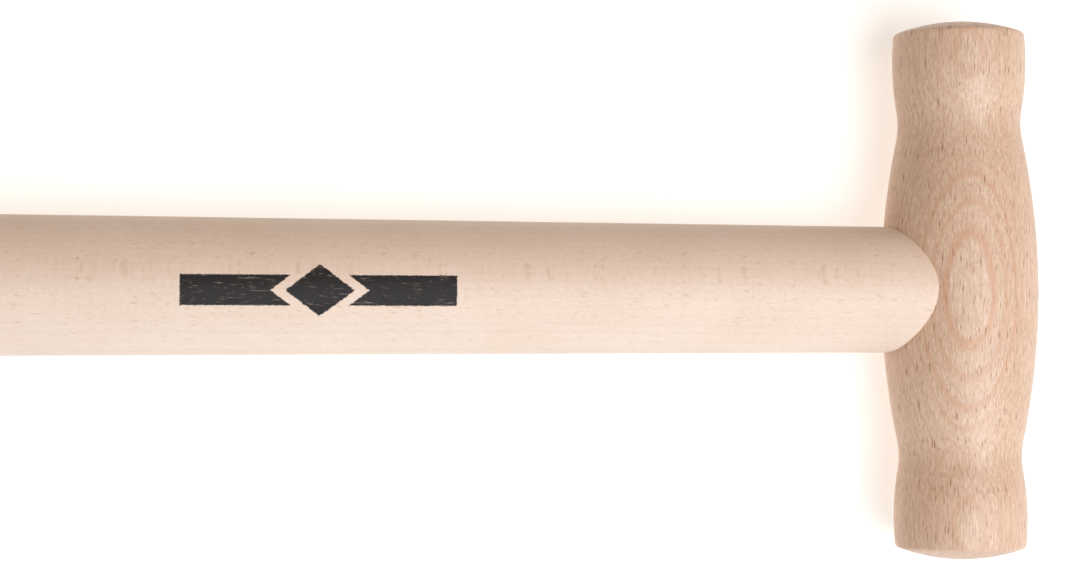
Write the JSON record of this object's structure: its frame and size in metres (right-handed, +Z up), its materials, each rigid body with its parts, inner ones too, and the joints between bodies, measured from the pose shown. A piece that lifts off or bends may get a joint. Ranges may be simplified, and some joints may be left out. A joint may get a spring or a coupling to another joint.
{
  "type": "t-handle tool shaft",
  "caption": "Wooden T-handle for a digging tool: a round tapered shaft, coped to a turned cross grip that is waisted near its domed ends and held by a wedged through tenon.",
  "frame": {"origin": "centre of the shaft's sawn socket end, on the shaft's axis", "axes": "+X along the shaft from the socket end to the cross grip, +Y along the cross grip, +Z up as the handle lies flat on a bench"},
  "size_m": [0.7, 0.143, 0.0414],
  "materials": {
    "shaft_beech": "satin",
    "grip_beech": "satin",
    "wedge_hardwood": "satin"
  },
  "bodies": {
    "root": {"shaft": "shaft_beech", "cross_grip": "grip_beech", "tenon_wedge": "wedge_hardwood"}
  },
  "joints": []
}
